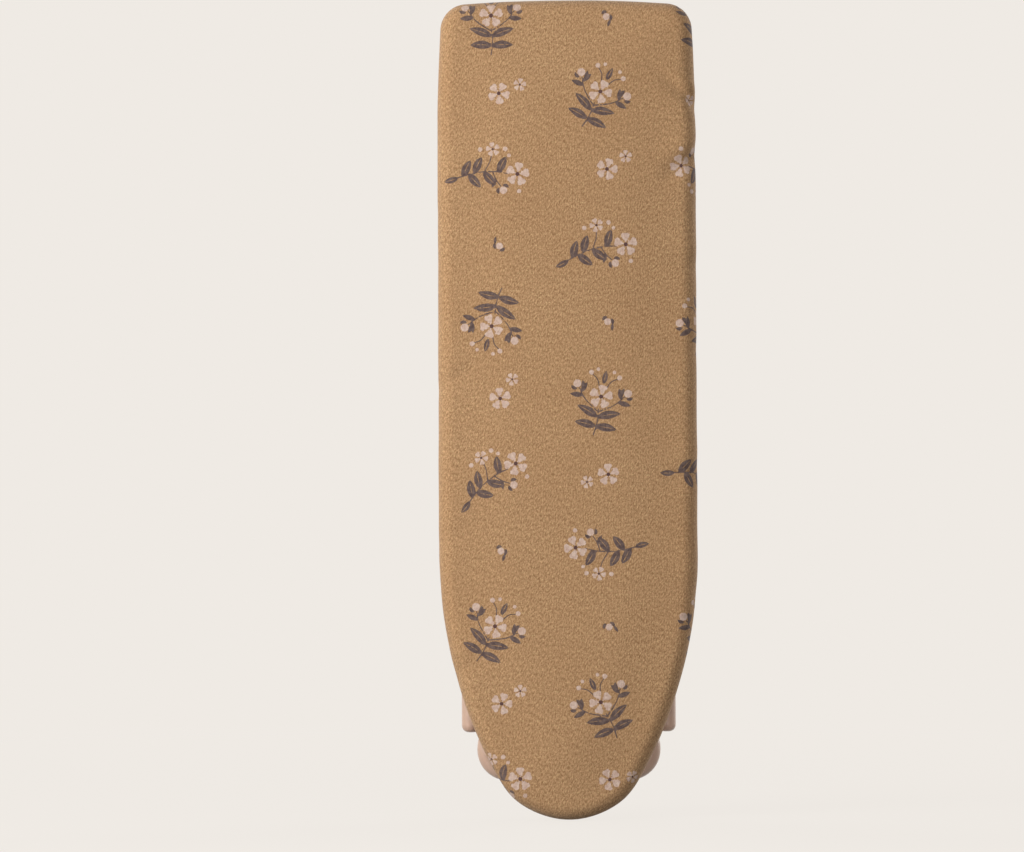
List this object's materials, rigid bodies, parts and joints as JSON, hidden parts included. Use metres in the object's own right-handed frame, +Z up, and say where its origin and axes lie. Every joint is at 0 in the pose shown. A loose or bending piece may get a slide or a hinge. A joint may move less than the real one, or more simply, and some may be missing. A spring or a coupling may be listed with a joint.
{
  "type": "toy ironing board",
  "caption": "Dolls'-house folding ironing board: padded, fabric-covered tapered board with bent-rod X legs that fold flat behind it.",
  "frame": {"origin": "bottom centre of the bounding box, at the nose tip, with the board folded and upright", "axes": "+Z up along the board from nose to tail, -Y out of the ironing face, +Y towards the legs, X across the board"},
  "size_m": [0.0512, 0.0152, 0.164],
  "materials": {
    "cover_fabric": "ochre plain-weave cotton with a small scattered flower print",
    "binding": "ochre cotton bias tape, stitched",
    "elastic": "woven flat elastic",
    "foam": "soft polyester pad",
    "panel": "plain hardboard, sanded",
    "leg_paint": "pale dusty-pink paint on round steel rod, satin gloss",
    "bracket_paint": "pale dusty-pink paint on pressed steel",
    "block_plastic": "moulded plastic",
    "rivet_steel": "plain steel",
    "screw_steel": "zinc-plated steel",
    "washer_nylon": "natural nylon"
  },
  "bodies": {
    "board": {"board_panel": "panel", "foam_pad": "foam", "fabric_cover": "cover_fabric", "cover_binding": "binding", "hem_elastic": "elastic", "tail_clip_screws": "screw_steel", "rack_screws": "screw_steel", "tail_block_left": "block_plastic", "tail_block_right": "block_plastic", "tail_clip_left": "bracket_paint", "tail_clip_right": "bracket_paint", "catch_rack_left": "bracket_paint", "catch_rack_right": "bracket_paint"},
    "outer_frame": {"outer_leg_rod": "leg_paint", "pivot_rivet_left": "rivet_steel", "pivot_rivet_right": "rivet_steel", "spacer_washer_left": "washer_nylon", "spacer_washer_right": "washer_nylon", "rivet_washer_left": "rivet_steel", "rivet_washer_right": "rivet_steel"},
    "inner_frame": {"inner_leg_rod": "leg_paint"}
  },
  "joints": [
    {"name": "leg_fold", "type": "hinge", "parent": "board", "child": "outer_frame", "pos_m": [0, 0.00445, 0.1503], "axis": [1, 0, 0], "range_deg": [0, 46]},
    {"name": "leg_crossing", "type": "hinge", "parent": "outer_frame", "child": "inner_frame", "pos_m": [0, 0.00445, 0.0798], "axis": [1, 0, 0], "range_deg": [-92, 0]}
  ],
  "couplings": [
    {"joint": "leg_crossing", "follows": "leg_fold", "ratio": -2}
  ]
}
